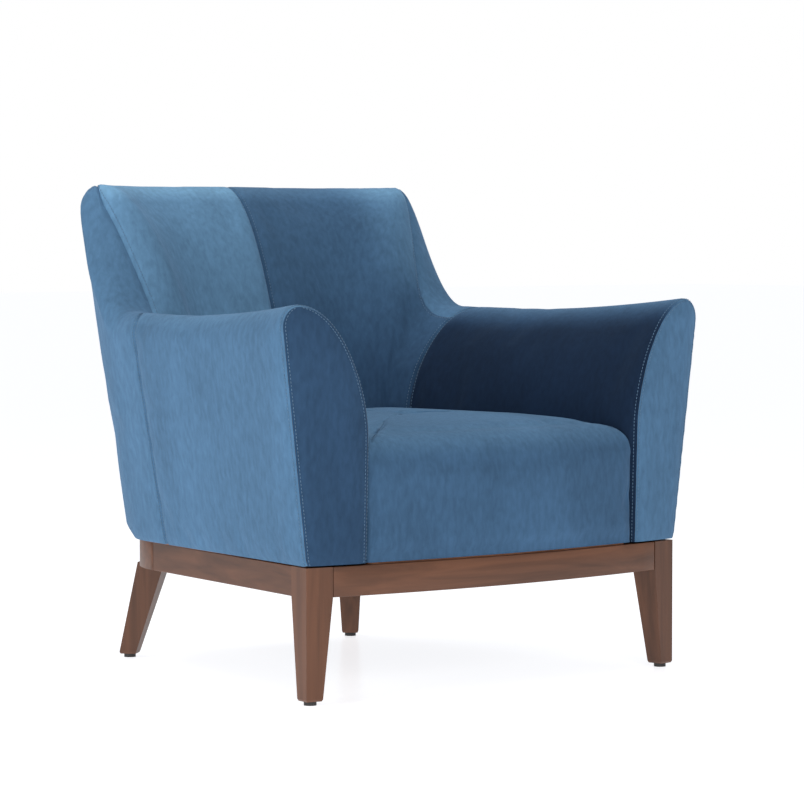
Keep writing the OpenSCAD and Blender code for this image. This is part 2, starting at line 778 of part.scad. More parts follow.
dust_t = 1;
module dust_cover() {
    edge = rail_recess + rail_t + 1;
    side = [for (l = steps(0, half_len, 40)) let (p = body_point(l, edge, 0)) [p[0], p[1]]];
    n = len(side);
    front_x = side[0][0] - 1;
    piece("black") translate([0, 0, block_z - wood_gap - dust_t]) linear_extrude(dust_t) difference() {
        polygon(concat([for (x = steps(-front_x, front_x, 16)) [x, bow_y(x) + edge]],
            [for (p = side) if (p[1] > 30) p],
            [for (i = [n - 1 : -1 : 0]) if (side[i][1] > 30) [-side[i][0], side[i][1]]]));
        for (s = [0, 1]) mirror([s, 0]) translate([half_w, 0]) rotate(side_toe)
            translate([-leg_w - 1, -20]) square([leg_w + 21, leg_w + 21]);
    }
}

front_rail();
left_side_rail();
right_side_rail();
rear_rail();
front_left_leg();
front_right_leg();
rear_left_leg();
rear_right_leg();
corner_blocks();
corner_block_bolts();
rear_leg_bolts();
foot_glides();
glide_nails();
left_arm_frame();
right_arm_frame();
left_wing_frame();
right_wing_frame();
back_top_rail();
back_lower_rail();
back_webbing();
seat_frame_front();
seat_frame_rear();
seat_frame_left();
seat_frame_right();
front_bearer();
rear_bearer();
body_bolts();
seat_springs();
spring_clips();
spring_felt();
seat_foam();
seat_cover();
left_arm_foam();
right_arm_foam();
left_wing_foam();
right_wing_foam();
back_foam();
left_front_board();
right_front_board();
left_front_panel();
right_front_panel();
left_arm_cover();
right_arm_cover();
left_inner_back_cover();
right_inner_back_cover();
outer_back_cover();
dust_cover();
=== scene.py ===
"""Looks of the velvet armchair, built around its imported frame. Metres, +Z up, its front towards -Y."""

import math

import bpy
import numpy as np
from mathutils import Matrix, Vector


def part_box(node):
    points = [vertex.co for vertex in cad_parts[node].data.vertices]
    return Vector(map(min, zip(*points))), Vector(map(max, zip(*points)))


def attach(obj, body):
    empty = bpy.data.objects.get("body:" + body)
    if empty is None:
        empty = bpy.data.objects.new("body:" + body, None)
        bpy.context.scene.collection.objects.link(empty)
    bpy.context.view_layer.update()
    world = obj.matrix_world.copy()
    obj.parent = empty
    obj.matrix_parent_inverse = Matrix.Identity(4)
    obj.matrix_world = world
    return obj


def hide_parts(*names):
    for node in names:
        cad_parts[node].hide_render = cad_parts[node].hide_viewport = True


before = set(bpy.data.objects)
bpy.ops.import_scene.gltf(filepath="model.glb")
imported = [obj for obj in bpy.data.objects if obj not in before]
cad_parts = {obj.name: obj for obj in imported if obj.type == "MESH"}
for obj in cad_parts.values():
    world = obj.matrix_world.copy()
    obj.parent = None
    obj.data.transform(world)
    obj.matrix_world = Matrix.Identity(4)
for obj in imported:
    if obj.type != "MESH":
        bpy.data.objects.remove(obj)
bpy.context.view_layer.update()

# ---- sizes ----

SIDE_TOE = math.radians(8.4)      # how far each side closes in towards the rear
REAR_FLAT = 0.098                 # half the straight stretch of the rear
LEG_W = 0.045
RAIL_RECESS = 0.002               # the rails lie this far inside the plinth's face
FRONT_BOW = 0.036                 # how far the middle of the front stands before its ends
ARM_FLARE, WING_FLARE, BACK_RAKE = 0.130, 0.168, 0.090     # outward lean per metre of height
ARM_FORWARD, FORWARD_RUN = 0.028, 0.25                     # the arms' fronts lean forward a little
RAKE_FROM = 0.9                   # share of the arm's length where its lean starts to turn into the rake
ARM_OVERHANG, BACK_OVERHANG = 0.004, 0.013
ARM_T, BACK_T = 0.103, 0.145
ARM_CREST_R, BACK_CREST_R = 0.0334, 0.036
ARM_LEN, WING_LEN, WING_SWEEP = 0.471, 0.1366, 1.824       # the crest rises over WING_LEN, past the arm
RISE_LEAD = 0.008                 # and starts to rise this far before the arm's end
ARM_DIP, DIP_RUN = 0.0213, 0.75   # the arm's crest dips this much, over this share of its length
ARM_CURVE = 1.627                 # how full the arm's inner curve is
COVER_GAP = 0.003                 # the dark line between rail and cover
TUCK_RISE, TUCK_DEPTH = (0.008, 0.026), (0.002, 0.008)     # rounding of the lower edge, at arm and back
PANEL_L = -0.003                  # station of the arm's front face
PANEL_INSET = 0.002               # the front panel and the arm's seam lie this far behind it
ARM_ABOVE, BACK_BELOW = 0.0008, 0.001      # the visible crests, against the tops of the CAD covers
OUTER_SEAM, INNER_SEAM = 0.425, 0.476      # stations of the seam between arm and back, outside and inside

leg_low, leg_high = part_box("front_right_leg")
HALF_W = leg_high.x
FRONT_Y = leg_low.y + LEG_W * math.sin(SIDE_TOE)
PLINTH_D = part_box("rear_rail")[1].y + RAIL_RECESS - FRONT_Y
BODY_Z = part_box("front_rail")[1].z
ARM_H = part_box("right_front_panel")[1].z + ARM_ABOVE - BODY_Z
BACK_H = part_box("right_inner_back_cover")[1].z - BACK_BELOW - BODY_Z
SEAT_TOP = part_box("seat_cover")[1].z

CORNER_Y = (PLINTH_D - (HALF_W - REAR_FLAT) * math.cos(SIDE_TOE)) / (1 - math.sin(SIDE_TOE))
CORNER_R = PLINTH_D - CORNER_Y
SIDE_LEN = (CORNER_Y + CORNER_R * math.sin(SIDE_TOE)) / math.cos(SIDE_TOE)
HALF_LEN = SIDE_LEN + CORNER_R * (math.pi / 2 - SIDE_TOE) + REAR_FLAT
BOW_R = (HALF_W ** 2 + FRONT_BOW ** 2) / (2 * FRONT_BOW)

COVER_Z = BODY_Z + COVER_GAP
ROUND_Z = BODY_Z + 0.190          # where the inner curve meets the straight inner face
WING_SEAM_W, WING_FRONT_W = 2.35, 3.25     # the wing seam along the back's top, and down the wing's front
WING_TURN, WING_RUN = 0.52, 0.18           # station where it starts to swing over the crest, and how long


# ---- shape of the body ----

def mix(a, b, t):
    return a + (b - a) * t


def smooth(v):
    c = np.clip(v, 0, 1)
    return c * c * (3 - 2 * c)


def blend(value, start, run):
    """0 up to start, 1 from start + run on, and a smooth change between them."""
    return smooth((value - start) / run)


def mirror_l(l):
    """The station on the right half that matches station l, which goes on round to the left half."""
    return np.where(l > HALF_LEN, 2 * HALF_LEN - l, l)


def body_point(l, n, z):
    """The point at station l along the body, n inwards from the plinth's face and at height z."""
    m = mirror_l(l)
    a = np.clip(SIDE_TOE + (m - SIDE_LEN) / CORNER_R, SIDE_TOE, math.pi / 2)
    side, rear = m <= SIDE_LEN, m > HALF_LEN - REAR_FLAT
    x = np.where(side, HALF_W - m * math.sin(SIDE_TOE),
                 np.where(rear, HALF_LEN - m, REAR_FLAT + CORNER_R * np.cos(a)))
    y = np.where(side, m * math.cos(SIDE_TOE),
                 np.where(rear, PLINTH_D, CORNER_Y + CORNER_R * np.sin(a)))
    x = x - n * np.cos(a)
    lean = ARM_FORWARD * np.clip(z - BODY_Z, 0, 1) * (1 - smooth(m / FORWARD_RUN))
    y = y - n * np.sin(a) + FRONT_Y - lean
    return np.stack([np.where(l > HALF_LEN, -x, x), y, z + 0 * x], -1)


def rise(l):
    """0 along the arm and 1 along the back, where the crest has reached its full height."""
    t = np.clip((mirror_l(l) - ARM_LEN + RISE_LEAD) / WING_LEN, 0, 1)
    return smooth(t ** WING_SWEEP)


def crest_z(l):
    t = np.clip(mirror_l(l) / (ARM_LEN * DIP_RUN), 0, 1)
    arm = ARM_H - ARM_DIP * (1 - (1 - t) ** 2)
    return BODY_Z + mix(arm, BACK_H, rise(l))


def outer_n(l, z):
    """How far inwards of the plinth's face the outer face lies at height z: it is outside, so below 0."""
    m = mirror_l(l)
    overhang = mix(ARM_OVERHANG, BACK_OVERHANG, smooth(m / SIDE_LEN))
    flare = mix(ARM_FLARE, WING_FLARE, smooth(m / ARM_LEN))
    rake_start = ARM_LEN * RAKE_FROM
    lean = mix(flare, BACK_RAKE, blend(m, rake_start, HALF_LEN - rake_start))
    return -overhang - lean * (z - BODY_Z)


def inner_depth(l):
    """How far inwards the straight inner face lies: ARM_T along the arm, growing to BACK_T at the
    middle of the rear."""
    back = np.clip((mirror_l(l) - ARM_LEN) / (HALF_LEN - ARM_LEN), 0, 1)
    return mix(ARM_T, BACK_T, 1 - (1 - back) ** 2)


def section(l, w, d):
    """The point at w around the body's section at station l, d inside its surface: w runs 0 to 1 up the
    tucked edge, to 2 up the outer face, to 3 over to the crest, to 4 down the inner curve, and to 5 down
    the straight inner face."""
    l, w = np.broadcast_arrays(np.asarray(l, float), np.asarray(w, float))
    up = rise(l)
    r = mix(ARM_CREST_R, BACK_CREST_R, up) - d
    h = crest_z(l) - d
    s = h - r
    low = COVER_Z + mix(*TUCK_RISE, up)
    crest_n = outer_n(l, h + d) + r + d
    inner_n = inner_depth(l) - d
    a = np.radians(90 * np.clip(w, 0, 1))
    z1 = mix(COVER_Z, low, np.sin(a))
    n1 = outer_n(l, z1) + d + mix(*TUCK_DEPTH, up) * (1 - np.sin(a))
    z2 = mix(low, s, w - 1)
    n2 = outer_n(l, z2) + d
    a = np.radians(90 * np.clip(w - 2, 0, 1))
    z3 = s + r * np.sin(a)
    n3 = mix(crest_n, outer_n(l, s) + d, np.cos(a))
    t = np.sin(np.radians(90 * np.clip(4 - w, 0, 1)))
    z4 = mix(ROUND_Z, h, t)
    n4 = mix(crest_n, inner_n, np.sqrt(np.clip(1 - t ** mix(ARM_CURVE, 1.0, up), 0, 1)))
    z5 = mix(ROUND_Z, COVER_Z, w - 4)
    z = np.select([w <= 1, w <= 2, w <= 3, w <= 4], [z1, z2, z3, z4], z5)
    n = np.select([w <= 1, w <= 2, w <= 3, w <= 4], [n1, n2, n3, n4], inner_n)
    return body_point(l, n, z)


def bow_y(x):
    """Y of the plinth's bowed front at x."""
    return FRONT_Y + BOW_R - FRONT_BOW - np.sqrt(BOW_R ** 2 - x * x)


# ---- grids of points ----

def path_run(points):
    """Running length along a line of points."""
    return np.concatenate([[0], np.cumsum(np.linalg.norm(np.diff(points, axis=0), axis=1))])


def along_path(at, run, points):
    """The point or points that lie at the running lengths at."""
    return np.stack([np.interp(at, run, points[:, k]) for k in range(3)], -1)


def lengths(p, axis):
    """Running length along the grid p, the mean of all its lines in that direction."""
    step = np.linalg.norm(np.diff(p, axis=axis), axis=-1).mean(1 - axis)
    return np.concatenate([[0], np.cumsum(step)])


EDGE_STEPS = [0, 0.0008, 0.0018, 0.0032, 0.005, 0.0075, 0.011]     # fine rows that let a seam sink in


def stations(total, step, low_seam, high_seam):
    """Places from 0 to total, one step apart, closer together where an end is a seam."""
    low = EDGE_STEPS if low_seam else [0]
    high = [total - e for e in reversed(EDGE_STEPS)] if high_seam else [total]
    count = max(2, round((high[0] - low[-1]) / step))
    middle = np.linspace(low[-1], high[0], count + 1)[1:-1]
    return np.array(low + list(middle) + high)


def normals(p):
    """Unit normals of a grid of points."""
    n = np.cross(np.gradient(p, axis=0), np.gradient(p, axis=1))
    return n / np.maximum(np.linalg.norm(n, axis=-1, keepdims=True), 1e-12)


def cubic(places, wanted):
    """Catmull-Rom weights as a matrix: times values at evenly spaced places, it gives those wanted."""
    count = len(places)
    x = np.interp(wanted, places, np.arange(count))
    i = np.clip(np.floor(x).astype(int), 0, count - 2)
    t = x - i
    weights = np.zeros((len(wanted), count))
    parts = [(-1, -0.5 * t + t ** 2 - 0.5 * t ** 3), (0, 1 - 2.5 * t ** 2 + 1.5 * t ** 3),
             (1, 0.5 * t + 2 * t ** 2 - 1.5 * t ** 3), (2, -0.5 * t ** 2 + 0.5 * t ** 3)]
    for k, part in parts:
        np.add.at(weights, (np.arange(len(wanted)), np.clip(i + k, 0, count - 1)), part)
    return weights


def grid_faces(rows, cols, closed=False):
    """Faces of a grid of points kept row by row, whose rows may be closed rings."""
    last = cols if closed else cols - 1
    return [(i * cols + j, i * cols + (j + 1) % cols, (i + 1) * cols + (j + 1) % cols, (i + 1) * cols + j)
            for i in range(rows - 1) for j in range(last)]


def new_mesh(name, points, faces, mat=None):
    """A smooth shaded object made of points and faces."""
    mesh = bpy.data.meshes.new(name)
    mesh.from_pydata([tuple(p) for p in np.reshape(points, (-1, 3))], [], faces)
    mesh.update()
    mesh.shade_smooth()
    obj = bpy.data.objects.new(name, mesh)
    bpy.context.scene.collection.objects.link(obj)
    if mat:
        mesh.materials.append(mat)
    return obj


# ---- cloth ----

def vertex_values(mesh, name):
    values = np.zeros(len(mesh.vertices) * 3)
    mesh.vertices.foreach_get(name, values)
    return values.reshape(-1, 3)


CLOTH_FRAMES = 20
CLOTH_SPARE = 0.01                # the cloth is cut this share too large
INWARD_TAKEN_OUT = 0.85           # share of any pull inwards that is left out, at corners above all


def inflate(points, faces, pinned, pressure, cap):
    """How far each point of a cover moves when its padding pushes it out, its pinned points held. No
    point moves further than cap."""
    obj = new_mesh("cloth", points, faces)
    group = obj.vertex_groups.new(name="pinned")
    group.add([int(i) for i in np.flatnonzero(pinned)], 1.0, "REPLACE")
    cloth = obj.modifiers.new("Cloth", "CLOTH")
    settings = cloth.settings
    settings.quality = 6
    settings.mass = 0.25
    settings.tension_stiffness = settings.compression_stiffness = 25
    settings.shear_stiffness = 15
    settings.bending_stiffness = 4
    settings.air_damping = 4
    settings.shrink_min = settings.shrink_max = -CLOTH_SPARE
    settings.vertex_group_mass = "pinned"
    settings.use_pressure = True
    settings.uniform_pressure_force = pressure
    settings.effector_weights.gravity = 0
    cloth.collision_settings.use_collision = False
    cloth.point_cache.frame_start, cloth.point_cache.frame_end = 1, CLOTH_FRAMES
    for f in range(1, CLOTH_FRAMES + 1):
        bpy.context.scene.frame_set(f)
    shape = obj.evaluated_get(bpy.context.evaluated_depsgraph_get()).to_mesh()
    moved = vertex_values(shape, "co") - points
    outward = vertex_values(obj.data, "normal")
    bpy.data.objects.remove(obj)
    bpy.context.scene.frame_set(1)
    drawn_in = np.minimum(0, (moved * outward).sum(1, keepdims=True))
    moved = moved - outward * drawn_in * INWARD_TAKEN_OUT
    size = np.linalg.norm(moved, axis=1, keepdims=True)
    soft = cap * np.tanh(size / cap)
    return moved * soft / np.maximum(size, 1e-9)


SEAM_DEPTH, SEAM_R = 0.0042, 0.0085        # how deep a seam sinks, and how far beside it the cover bends
GRID_STEP, CLOTH_STEP = 0.009, 0.016       # spacing of a cover's own points, and of its simulated ones
DENSE = 160                       # samples for measuring a cover's lengths
INSET = 0.002                     # the cover starts this far inside, and its padding fills it out
SEAM_SWING, SEAM_SWING_RUN = 2.2, 1.8      # the arm's seam swings back from this w on, over this much of w


def seam_l(w):
    """Station of the seam between arm and back: straight up the outside, further back on the inside."""
    return mix(OUTER_SEAM, INNER_SEAM, blend(w, SEAM_SWING, SEAM_SWING_RUN))


def wing_seam(l):
    """Place of the section where the seam between inner and outer back lies at station l."""
    return mix(WING_FRONT_W, WING_SEAM_W, blend(mirror_l(l), WING_TURN, WING_RUN))


def bend(w, seam):
    """Moves the places of the section so that WING_SEAM_W lands on the seam and both ends stay."""
    below = w * seam / WING_SEAM_W
    above = 5 - (5 - w) * (5 - seam) / (5 - WING_SEAM_W)
    return np.where(w <= WING_SEAM_W, below, above)


def patch(l_ends, u, w, on_back):
    """Points of a cover between two edges, each a station or a function that swings it with w. u runs
    from 0 at the first edge to 1 at the last. On the back, w is bent to follow the wing seam."""
    edge_w = bend(w, WING_FRONT_W) if on_back else w
    first, last = (end(edge_w) if callable(end) else end + 0 * w for end in l_ends)
    l = first[None, :] + (last - first)[None, :] * u[:, None]
    w = w[None, :] + 0 * l
    return section(l, bend(w, wing_seam(l)) if on_back else w, INSET)


def cover_crown(l_ends, u, w, rows, cols, pressure, cap, on_back):
    """How far the padding moves each point of a cover at rows and cols. u and w are functions that turn
    a running length into a place. It is simulated on a coarser grid and read back smoothly."""
    c_rows = np.linspace(0, rows[-1], max(4, round(rows[-1] / CLOTH_STEP)))
    c_cols = np.linspace(0, cols[-1], max(4, round(cols[-1] / CLOTH_STEP)))
    coarse = patch(l_ends, u(c_rows), w(c_cols), on_back)
    held = np.zeros(coarse.shape[:2], bool)
    held[0], held[-1], held[:, 0], held[:, -1] = True, True, True, True
    faces = [f[::-1] for f in grid_faces(*coarse.shape[:2])]
    moved = inflate(coarse.reshape(-1, 3), faces, held.ravel(), pressure, cap).reshape(coarse.shape)
    crown = np.einsum("ai,ijk->ajk", cubic(c_rows, rows), moved)
    return np.einsum("bj,ajk->abk", cubic(c_cols, cols), crown)


def panel(name, l_ends, w_ends, seams, pressure=3.0, cap=0.006, on_back=True):
    """One cut of velvet over the body between two stations and two places of the section. seams says
    which edges are sewn: first l, last l, first w, last w. Returns the object and its grid."""
    dense_u, dense_w = np.linspace(0, 1, DENSE), np.linspace(*w_ends, DENSE)
    dense = patch(l_ends, dense_u, dense_w, on_back)
    along, across = lengths(dense, 0), lengths(dense, 1)
    rows = stations(along[-1], GRID_STEP, seams[0], seams[1])
    cols = stations(across[-1], GRID_STEP, seams[2], seams[3])

    def u(run):
        return np.interp(run, along, dense_u)

    def w(run):
        return np.interp(run, across, dense_w)

    p = patch(l_ends, u(rows), w(cols), on_back)
    n = normals(p)
    crown = np.zeros_like(p)
    crown = cover_crown(l_ends, u, w, rows, cols, pressure, cap, on_back)

    edge = np.full(p.shape[:2], 1.0)
    for sewn, gap in zip(seams, (rows[:, None], along[-1] - rows[:, None],
                                 cols[None, :], across[-1] - cols[None, :])):
        if sewn:
            edge = np.minimum(edge, gap + 0 * edge)
    sunk = SEAM_DEPTH * np.clip(1 - edge / SEAM_R, 0, 1) ** 2
    p = p + crown + n * (INSET - sunk)[..., None]
    obj = new_mesh(name, p, [f[::-1] for f in grid_faces(*p.shape[:2])], pile)
    return obj, {"p": p, "n": n, "rows": rows, "cols": cols, "w": w(cols)}


# ---- stitches ----

STITCH_LEN, STITCH_STEP, THREAD_R = 0.0036, 0.0054, 0.00055
TOPSTITCH = 0.0042                # how far a row of stitches lies from its seam
FRONT_TOPSTITCH = TOPSTITCH * 0.8          # the same at the seams round the front panels
STITCH_SIDES = 6
# Along a stitch: the place, from -0.5 to 0.5, and there its thickness and its height in thread radii.
STITCH_PROFILE = [(-0.5, 0.35, 0.1), (-0.3, 0.95, 0.9), (0.0, 1.1, 0.9), (0.3, 0.95, 0.9), (0.5, 0.35, 0.1)]


def seam_line(grid, edge, offset=TOPSTITCH):
    """Points and normals of the panel's surface along one of its edges, offset in from it."""
    p, n, rows, cols = grid["p"], grid["n"], grid["rows"], grid["cols"]
    if edge in ("first_w", "last_w"):
        p, n, rows = np.swapaxes(p, 0, 1), np.swapaxes(n, 0, 1), cols
    at = offset if edge in ("first_l", "first_w") else rows[-1] - offset
    k = int(np.clip(np.searchsorted(rows, at), 1, len(rows) - 1))
    t = (at - rows[k - 1]) / (rows[k] - rows[k - 1])
    return mix(p[k - 1], p[k], t), mix(n[k - 1], n[k], t)


def stitch(ends, up, base):
    """Points and faces of one raised stitch between two ends, its first point being number base."""
    along = ends[1] - ends[0]
    side = np.cross(along / np.linalg.norm(along), up)
    points = []
    for t, swell, lift in STITCH_PROFILE:
        centre = ends.mean(0) + along * t + up * THREAD_R * lift
        for q in range(STITCH_SIDES):
            a = 2 * math.pi * q / STITCH_SIDES
            points.append(centre + (side * math.cos(a) + up * math.sin(a)) * THREAD_R * swell)
    rings = len(STITCH_PROFILE)
    faces = [tuple(base + i for i in f) for f in grid_faces(rings, STITCH_SIDES, closed=True)]
    faces.append(tuple(base + q for q in reversed(range(STITCH_SIDES))))
    faces.append(tuple(base + (rings - 1) * STITCH_SIDES + q for q in range(STITCH_SIDES)))
    return points, faces


def stitches(name, lines):
    """Rows of short raised stitches along lines of surface points, all in one mesh."""
    points, faces = [], []
    for line, normal in lines:
        run = path_run(line)
        for s in np.arange(STITCH_STEP / 2, run[-1], STITCH_STEP):
            ends = along_path(np.array([s - STITCH_LEN / 2, s + STITCH_LEN / 2]), run, line)
            if np.linalg.norm(ends[1] - ends[0]) < STITCH_LEN / 2:
                continue
            up = along_path(s, run, normal)
            new_points, new_faces = stitch(ends, up / np.linalg.norm(up), len(points))
            points += new_points
            faces += new_faces
    return finish_piece(new_mesh(name, np.array(points), faces, thread), [])


# ---- materials ----

def material(name):
    """A new material, with its nodes, its links, its shader and its object coordinates."""
    mat = bpy.data.materials.new(name)
    mat.use_nodes = True
    nodes, links = mat.node_tree.nodes, mat.node_tree.links
    shader = nodes["Principled BSDF"]
    place = nodes.new("ShaderNodeTexCoord")
    return mat, nodes, links, shader, place.outputs["Object"]


def noise_node(nodes, links, place, scale, detail=4.0, stretch=(1, 1, 1), distortion=0.0):
    mapping = nodes.new("ShaderNodeMapping")
    mapping.inputs["Scale"].default_value = stretch
    links.new(place, mapping.inputs["Vector"])
    tex = nodes.new("ShaderNodeTexNoise")
    tex.inputs["Scale"].default_value = scale
    tex.inputs["Detail"].default_value = detail
    tex.inputs["Distortion"].default_value = distortion
    links.new(mapping.outputs["Vector"], tex.inputs["Vector"])
    return tex.outputs["Fac"]


def ramp(nodes, links, fac, stops):
    node = nodes.new("ShaderNodeValToRGB")
    while len(node.color_ramp.elements) < len(stops):
        node.color_ramp.elements.new(0.5)
    for element, (at, colour) in zip(node.color_ramp.elements, stops):
        element.position = at
        element.color = (*colour, 1)
    links.new(fac, node.inputs["Fac"])
    return node.outputs["Color"]


def bump(nodes, links, shader, height, strength, distance, under=None):
    node = nodes.new("ShaderNodeBump")
    node.inputs["Strength"].default_value = strength
    node.inputs["Distance"].default_value = distance
    links.new(height, node.inputs["Height"])
    if under:
        links.new(under, node.inputs["Normal"])
    links.new(node.outputs["Normal"], shader.inputs["Normal"])
    return node.outputs["Normal"]


VELVET = np.array([0.080, 0.172, 0.290])
VELVET_SHADES = (0.80, 1.0, 1.22)
SHEEN_TINT = (0.45, 0.68, 1.0, 1)


def velvet(name):
    """Short-pile velvet: a pale bloom at grazing angles, faint patches in the pile and a fine pile. Each
    point's colour attribute multiplies it with painted light and shade: painted highlights over 1, painted
    shade under 1."""
    mat, nodes, links, shader, place = material(name)
    patches = noise_node(nodes, links, place, 7.0, 7.0, (1, 1, 0.5), 0.6)
    fibres = noise_node(nodes, links, place, 130.0, 8.0, (1, 1, 0.4), 0.3)
    tuft = nodes.new("ShaderNodeMix")
    tuft.inputs["Factor"].default_value = 0.5
    links.new(patches, tuft.inputs["A"])
    links.new(fibres, tuft.inputs["B"])
    dark, mid, light = (tuple(VELVET * k) for k in VELVET_SHADES)
    colour = ramp(nodes, links, tuft.outputs["Result"], [(0.34, dark), (0.51, mid), (0.68, light)])
    # painted light and shade: each piece's colour attribute multiplies the velvet's colour
    painted_shading = nodes.new("ShaderNodeAttribute")
    painted_shading.attribute_name = "painted_shading"
    shading_multiply = nodes.new("ShaderNodeMix")
    shading_multiply.data_type = "RGBA"
    shading_multiply.blend_type = "MULTIPLY"
    shading_multiply.inputs["Factor"].default_value = 1.0
    links.new(colour, shading_multiply.inputs["A"])
    links.new(painted_shading.outputs["Color"], shading_multiply.inputs["B"])
    links.new(shading_multiply.outputs["Result"], shader.inputs["Base Color"])
    shader.inputs["Roughness"].default_value = 0.85
    shader.inputs["Specular IOR Level"].default_value = 0.12
    shader.inputs["Sheen Weight"].default_value = 0.22
    shader.inputs["Sheen Roughness"].default_value = 0.4
    shader.inputs["Sheen Tint"].default_value = SHEEN_TINT
    soft = bump(nodes, links, shader, noise_node(nodes, links, place, 14.0, 4.0), 0.3, 0.002)
    bump(nodes, links, shader, noise_node(nodes, links, place, 1500.0, 3.0, (1, 1, 0.5)), 0.45, 0.0005, soft)
    return mat


WALNUT = np.array([0.118, 0.047, 0.023])
WALNUT_SHADES = (0.66, 1.0, 1.42)
GRAIN_STRETCH = 0.05


def wood(name, along, tone=1.0):
    """Walnut-stained wood under a satin lacquer, its grain along the direction along."""
    mat, nodes, links, shader, place = material(name)
    stretch = tuple(GRAIN_STRETCH if k else 1.0 for k in along)
    grain = noise_node(nodes, links, place, 60.0, 6.0, stretch, 0.5)
    broad = noise_node(nodes, links, place, 9.0, 3.0, stretch, 1.2)
    both = nodes.new("ShaderNodeMix")
    both.inputs["Factor"].default_value = 0.45
    links.new(grain, both.inputs["A"])
    links.new(broad, both.inputs["B"])
    dark, mid, light = (tuple(WALNUT * tone * k) for k in WALNUT_SHADES)
    colour = ramp(nodes, links, both.outputs["Result"], [(0.38, dark), (0.5, mid), (0.64, light)])
    links.new(colour, shader.inputs["Base Color"])
    shader.inputs["Roughness"].default_value = 0.5
    shader.inputs["Specular IOR Level"].default_value = 0.35
    shader.inputs["Coat Weight"].default_value = 0.14
    shader.inputs["Coat Roughness"].default_value = 0.28
    pores = noise_node(nodes, links, place, 420.0, 3.0, stretch)
    bump(nodes, links, shader, pores, 0.12, 0.0003)
    return mat


def plain(name, colour, roughness, metallic=0.0, grain=300.0, depth=0.0002):
    """One colour with a slight mottle and a fine grain: for metal, plastic, felt and woven cloth."""
    mat, nodes, links, shader, place = material(name)
    shade = noise_node(nodes, links, place, grain / 4, 4.0)
    low, high = (tuple(np.array(colour) * k) for k in (0.8, 1.15))
    links.new(ramp(nodes, links, shade, [(0.35, low), (0.65, high)]), shader.inputs["Base Color"])
    shader.inputs["Roughness"].default_value = roughness
    shader.inputs["Metallic"].default_value = metallic
    bump(nodes, links, shader, noise_node(nodes, links, place, grain, 3.0), 0.3, depth)
    return mat


pile = velvet("velvet")
thread = plain("thread", (0.095, 0.18, 0.28), 0.7, grain=900.0)


# ---- velvet pieces ----

SHADING_TINT = np.array([1.10, 1.0, 0.84])     # painted light and shade shift hue too: red darkens soonest and blue last, so the painted shade turns bluer
ARM_CREST_HIGHLIGHT, ARM_CREST_W, ARM_CREST_FADE = 1.25, 2.2, 0.6          # painted highlight over the arm's crest, from this w on, over this much of w
# painted shade down the arm's inner face, from this w on, over this much of w
ARM_INSIDE_SHADE, ARM_INSIDE_W, ARM_INSIDE_FADE = 0.12, 2.9, 0.55
# painted light on the left half of the inner back, painted shade on the right half
INNER_BACK_SHADING = {"left": 1.40, "right": 0.66}
CREST_HIGHLIGHT, CREST_BAND, CREST_FADE = 0.55, 0.030, 0.028             # painted highlight over the back's crest
LOW_SHADE, LOW_UP_TO, LOW_FADE = 0.62, 0.22, 0.22                      # painted shade low on the right half
WING_HIGHLIGHT, WING_FROM_X, WING_FROM_Z, WING_FADE = 0.9, 0.19, 0.36, 0.10      # painted highlight on the right wing
# painted light: the outer back a little lighter all over
OUTER_BACK_SHADING = 1.04
# painted shade on the arms' front panels, deep on the left and slight on the right
PANEL_SHADING = {"left": 0.38, "right": 0.94}
SEAT_SHADING = (0.64, 1.10)           # painted shade down the seat's edge, and painted light on its top


def set_painted_shading(obj, values):
    """Paints light and shade into each point's colour: over 1 a painted highlight where the light falls,
    under 1 painted shade."""
    layer = obj.data.color_attributes.new("painted_shading", "FLOAT_COLOR", "POINT")
    colours = np.ones((len(obj.data.vertices), 4))
    colours[:, :3] = np.ravel(values)[:, None] ** SHADING_TINT
    layer.data.foreach_set("color", colours.ravel())


def finish_piece(obj, nodes):
    """Puts a piece on the chair's one body, in place of the CAD nodes that it stands for."""
    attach(obj, "root")
    if nodes:
        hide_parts(*nodes)
    return obj


def mirrored(l):
    """The matching station on the other half."""
    return 2 * HALF_LEN - l


def mirrored_seam(w):
    return mirrored(seam_l(w))


def make_arm(side):
    """One arm's cover, from its tucked outer edge over the crest and down to the seat."""
    right = side == "right"
    front = PANEL_L + PANEL_INSET
    ends = (front, seam_l) if right else (mirrored_seam, mirrored(front))
    obj, grid = panel(f"{side}_arm", ends, (0, 5), (True, True, False, False), on_back=False)
    w = grid["w"]
    # painted light: a painted highlight over the crest, and deep painted shade down the inner face
    outside = mix(1.0, ARM_CREST_HIGHLIGHT, blend(w, ARM_CREST_W, ARM_CREST_FADE))
    painted_shading = mix(outside, ARM_INSIDE_SHADE, blend(w, ARM_INSIDE_W, ARM_INSIDE_FADE))
    set_painted_shading(obj, np.broadcast_to(painted_shading, grid["p"].shape[:2]))
    finish_piece(obj, [f"{side}_arm_cover", f"{side}_arm_foam"])
    return grid


